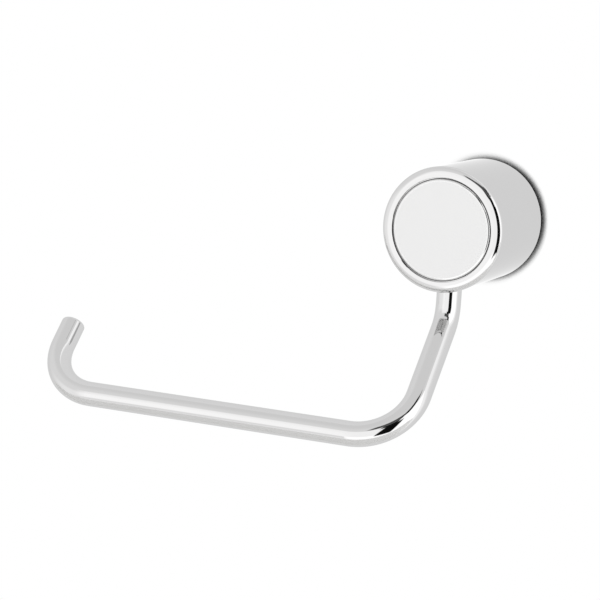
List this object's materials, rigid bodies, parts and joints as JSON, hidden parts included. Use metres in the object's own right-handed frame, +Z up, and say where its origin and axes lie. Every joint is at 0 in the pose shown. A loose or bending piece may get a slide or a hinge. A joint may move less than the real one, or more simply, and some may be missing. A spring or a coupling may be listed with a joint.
{
  "type": "toilet paper holder",
  "caption": "Wall-mounted toilet paper holder: a round post on a hidden wall puck, with a bent round bar below it that carries the roll.",
  "frame": {"origin": "centre of the post on the wall plane, which is the middle of the wall puck's back face", "axes": "+X right seen from the front, +Y into the wall, +Z up; the roll bar lies along X and runs to -X"},
  "size_m": [0.1877, 0.1161, 0.109],
  "materials": {
    "polished_chrome": "polished chrome plate",
    "satin_disc": "fine satin, almost matt",
    "hub_metal": "plain turned",
    "puck_metal": "plain cast and turned",
    "screw_steel": "zinc plated",
    "dark_steel": "black oxide",
    "plug_nylon": "moulded nylon",
    "adhesive_foam": "double-sided foam tape"
  },
  "bodies": {
    "wall_mount": {"wall_puck": "puck_metal", "wall_screws": "screw_steel", "wall_screw_washers": "screw_steel", "wall_plugs": "plug_nylon"},
    "post": {"post_sleeve": "polished_chrome", "arm_hub": "hub_metal", "hub_screw": "screw_steel", "hub_screw_washer": "screw_steel", "front_disc": "satin_disc", "disc_adhesive_pad": "adhesive_foam", "roll_arm": "polished_chrome", "arm_grub_screw": "dark_steel"},
    "set_screw": {"post_set_screw": "dark_steel"}
  },
  "joints": [
    {"name": "post_pull_off", "type": "slide", "parent": "wall_mount", "child": "post", "axis": [0, -1, 0], "range_m": [0, 0.02]},
    {"name": "set_screw_out", "type": "slide", "parent": "post", "child": "set_screw", "axis": [0, 0, -1], "range_m": [0, 0.0024]}
  ]
}
